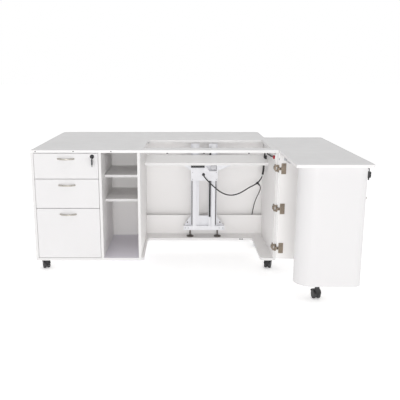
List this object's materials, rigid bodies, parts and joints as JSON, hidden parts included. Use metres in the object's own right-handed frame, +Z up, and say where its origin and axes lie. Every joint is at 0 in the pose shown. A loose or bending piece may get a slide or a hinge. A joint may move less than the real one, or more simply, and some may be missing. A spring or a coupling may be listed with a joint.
{
  "type": "sewing table",
  "caption": "Sewing table with drawers, cubby, knee space, electric machine lift, drop leaves and a hinged storage wing on casters.",
  "frame": {"origin": "middle of the footprint on the floor", "axes": "+X to the sitter's right, +Y to the rear, +Z up"},
  "size_m": [1.872, 1.524, 0.762],
  "materials": {
    "melamine_white": "white melamine-faced board, satin",
    "melamine_top": "white melamine top, fine satin texture",
    "satin_nickel": "satin nickel",
    "zinc_steel": "bright zinc plate",
    "hinge_steel": "nickel plate, slightly bronze",
    "lift_paint": "white powder coat",
    "black_plastic": "black moulded nylon",
    "black_metal": "black paint, satin",
    "black_rubber": "black flexible cable sheath",
    "white_plastic": "white moulded plastic",
    "red_plastic": "red moulded plastic",
    "lock_metal": "black chrome"
  },
  "bodies": {
    "cabinet": {"left_side_panel": "melamine_white", "right_side_panel": "melamine_white", "dividers": "melamine_white", "back_panels_and_rail": "melamine_white", "cubby_shelves": "melamine_white", "base_board": "melamine_white", "main_top": "melamine_top", "edge_inserts_and_bumpers": "black_plastic", "runners_and_brackets": "zinc_steel", "leaf_hinge_plates": "zinc_steel", "wing_hinge_plates": "hinge_steel", "caster_plates": "zinc_steel", "lift_frame": "lift_paint", "lift_feet_and_bolts": "zinc_steel", "lift_drive_tube": "black_metal", "switch_case": "white_plastic", "lift_cable": "black_rubber", "mains_lead": "black_rubber", "mains_coil": "black_rubber", "mains_plug": "black_plastic"},
    "top_drawer": {"top_drawer": "melamine_white", "top_drawer_handle": "satin_nickel", "top_drawer_runners": "zinc_steel", "drawer_lock": "lock_metal"},
    "drawer_key": {"drawer_key": "black_plastic"},
    "middle_drawer": {"middle_drawer": "melamine_white", "middle_drawer_handle": "satin_nickel", "middle_drawer_runners": "zinc_steel"},
    "bottom_drawer": {"bottom_drawer": "melamine_white", "bottom_drawer_handle": "satin_nickel", "bottom_drawer_runners": "zinc_steel"},
    "lift": {"platform": "melamine_white", "lift_head": "lift_paint", "lift_motor_and_gland": "black_plastic"},
    "rear_leaf": {"rear_leaf": "melamine_top", "rear_leaf_hardware": "zinc_steel"},
    "rear_leaf_braces": {"rear_leaf_braces": "zinc_steel"},
    "side_leaf": {"side_leaf": "melamine_top", "side_leaf_hardware": "zinc_steel"},
    "side_leaf_braces": {"side_leaf_braces": "zinc_steel"},
    "wing": {"wing_top": "melamine_top", "wing_end_panel": "melamine_white", "wing_boards": "melamine_white", "wing_fittings": "hinge_steel"},
    "wing_door": {"wing_door": "melamine_white", "wing_door_hinge_flaps": "zinc_steel", "wing_door_handle": "satin_nickel", "wing_lock": "lock_metal"},
    "wing_key": {"wing_key": "black_plastic"},
    "switch_button": {"switch_button": "red_plastic"},
    "caster_swivel_front_left": {"caster_housing_front_left": "black_plastic"},
    "caster_wheels_front_left": {"caster_wheels_front_left": "black_plastic"},
    "caster_swivel_front_right": {"caster_housing_front_right": "black_plastic"},
    "caster_wheels_front_right": {"caster_wheels_front_right": "black_plastic"},
    "caster_swivel_rear_left": {"caster_housing_rear_left": "black_plastic"},
    "caster_wheels_rear_left": {"caster_wheels_rear_left": "black_plastic"},
    "caster_swivel_rear_right": {"caster_housing_rear_right": "black_plastic"},
    "caster_wheels_rear_right": {"caster_wheels_rear_right": "black_plastic"},
    "caster_swivel_wing": {"caster_housing_wing": "black_plastic"},
    "caster_wheels_wing": {"caster_wheels_wing": "black_plastic"}
  },
  "joints": [
    {"name": "top_drawer_slide", "type": "slide", "parent": "cabinet", "child": "top_drawer", "axis": [0, -1, 0], "range_m": [0, 0.35]},
    {"name": "middle_drawer_slide", "type": "slide", "parent": "cabinet", "child": "middle_drawer", "axis": [0, -1, 0], "range_m": [0, 0.35]},
    {"name": "bottom_drawer_slide", "type": "slide", "parent": "cabinet", "child": "bottom_drawer", "axis": [0, -1, 0], "range_m": [0, 0.35]},
    {"name": "drawer_key_turn", "type": "hinge", "parent": "top_drawer", "child": "drawer_key", "pos_m": [-0.573, -0.24, 0.724], "axis": [0, -1, 0], "range_deg": [0, 90]},
    {"name": "lift_rise", "type": "slide", "parent": "cabinet", "child": "lift", "axis": [0, 0, 1], "range_m": [-0.2, 0.092], "deforming": ["lift_cable"]},
    {"name": "rear_leaf_drop", "type": "hinge", "parent": "cabinet", "child": "rear_leaf", "pos_m": [-0.2035, 0.4085, 0.742], "axis": [-1, 0, 0], "range_deg": [0, 90]},
    {"name": "rear_brace_fold", "type": "hinge", "parent": "rear_leaf", "child": "rear_leaf_braces", "pos_m": [-0.2035, 0.6285, 0.735], "axis": [-1, 0, 0], "range_deg": [-135, 0]},
    {"name": "side_leaf_drop", "type": "hinge", "parent": "cabinet", "child": "side_leaf", "pos_m": [0.534, 0.084, 0.741], "axis": [0, 1, 0], "range_deg": [0, 90]},
    {"name": "side_brace_fold", "type": "hinge", "parent": "side_leaf", "child": "side_leaf_braces", "pos_m": [0.709, 0.084, 0.741], "axis": [0, 1, 0], "range_deg": [-135, 0]},
    {"name": "wing_swing", "type": "hinge", "parent": "cabinet", "child": "wing", "pos_m": [0.524, -0.246, 0.412], "axis": [0, 0, -1], "range_deg": [0, 90]},
    {"name": "wing_door_swing", "type": "hinge", "parent": "wing", "child": "wing_door", "pos_m": [0.9155, -0.2595, 0.42], "axis": [0, 0, 1], "range_deg": [0, 90]},
    {"name": "wing_key_turn", "type": "hinge", "parent": "wing_door", "child": "wing_key", "pos_m": [0.912, -0.665, 0.726], "axis": [-1, 0, 0], "range_deg": [0, 90]},
    {"name": "switch_press", "type": "slide", "parent": "cabinet", "child": "switch_button", "axis": [1, 0, 0], "range_m": [0, 0.003], "stiffness_N_per_m": 500},
    {"name": "caster_swivel_front_left", "type": "hinge", "parent": "cabinet", "child": "caster_swivel_front_left", "pos_m": [-0.894, -0.156, 0.071], "axis": [0, 0, 1], "continuous": true},
    {"name": "caster_roll_front_left", "type": "hinge", "parent": "caster_swivel_front_left", "child": "caster_wheels_front_left", "pos_m": [-0.90076, -0.1415, 0.025], "axis": [0.9063, 0.4226, 0], "continuous": true},
    {"name": "caster_swivel_front_right", "type": "hinge", "parent": "cabinet", "child": "caster_swivel_front_right", "pos_m": [0.494, -0.156, 0.071], "axis": [0, 0, 1], "continuous": true},
    {"name": "caster_roll_front_right", "type": "hinge", "parent": "caster_swivel_front_right", "child": "caster_wheels_front_right", "pos_m": [0.49947, -0.14097, 0.025], "axis": [0.9397, -0.342, 0], "continuous": true},
    {"name": "caster_swivel_rear_left", "type": "hinge", "parent": "cabinet", "child": "caster_swivel_rear_left", "pos_m": [-0.882, 0.304, 0.071], "axis": [0, 0, 1], "continuous": true},
    {"name": "caster_roll_rear_left", "type": "hinge", "parent": "caster_swivel_rear_left", "child": "caster_wheels_rear_left", "pos_m": [-0.89704, 0.30947, 0.025], "axis": [0.342, 0.9397, 0], "continuous": true},
    {"name": "caster_swivel_rear_right", "type": "hinge", "parent": "cabinet", "child": "caster_swivel_rear_right", "pos_m": [0.492, 0.3, 0.071], "axis": [0, 0, 1], "continuous": true},
    {"name": "caster_roll_rear_right", "type": "hinge", "parent": "caster_swivel_rear_right", "child": "caster_wheels_rear_right", "pos_m": [0.48867, 0.31565, 0.025], "axis": [0.9781, 0.2079, 0], "continuous": true},
    {"name": "caster_swivel_wing", "type": "hinge", "parent": "wing", "child": "caster_swivel_wing", "pos_m": [0.694, -0.649, 0.088], "axis": [0, 0, 1], "continuous": true},
    {"name": "caster_roll_wing", "type": "hinge", "parent": "caster_swivel_wing", "child": "caster_wheels_wing", "pos_m": [0.69177, -0.63316, 0.025], "axis": [0.9903, 0.1392, 0], "continuous": true}
  ],
  "couplings": [
    {"joint": "rear_brace_fold", "follows": "rear_leaf_drop", "ratio": -1.5},
    {"joint": "side_brace_fold", "follows": "side_leaf_drop", "ratio": -1.5}
  ]
}
